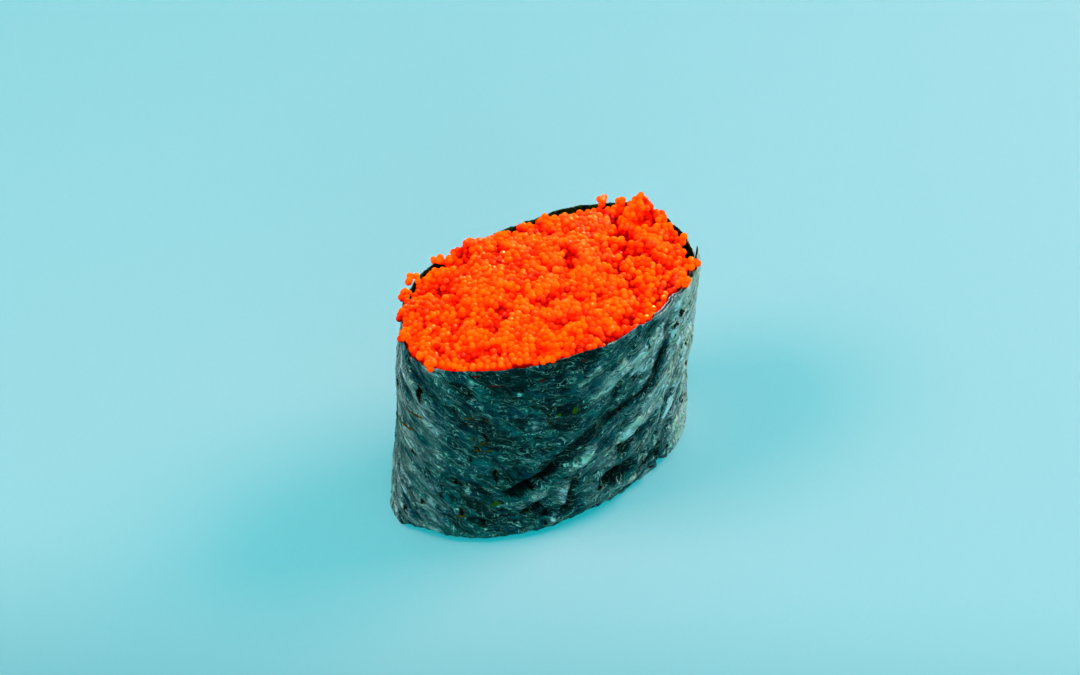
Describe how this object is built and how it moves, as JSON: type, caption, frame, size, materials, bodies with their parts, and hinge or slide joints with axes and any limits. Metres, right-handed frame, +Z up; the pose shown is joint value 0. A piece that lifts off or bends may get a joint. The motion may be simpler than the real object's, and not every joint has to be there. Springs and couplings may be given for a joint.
{
  "type": "gunkan sushi",
  "caption": "Oval gunkan sushi: an upright band of wound nori round a bed of rice, filled to above its rim with a heap of small orange roe.",
  "frame": {"origin": "on the resting plane, under the middle of the whole piece", "axes": "+Z up, +X along the oval's long axis towards its blunter end, +Y across it, away from the side with the long fold"},
  "size_m": [0.0514, 0.0306, 0.0379],
  "materials": {
    "nori": "dark blue-green toasted seaweed, slightly glossy, with paler fibres",
    "rice": "cooked white rice, moist",
    "roe": "wet, translucent orange eggs"
  },
  "bodies": {
    "root": {"nori_wrap": "nori", "rice_bed": "rice", "roe_heap": "roe"}
  },
  "joints": []
}
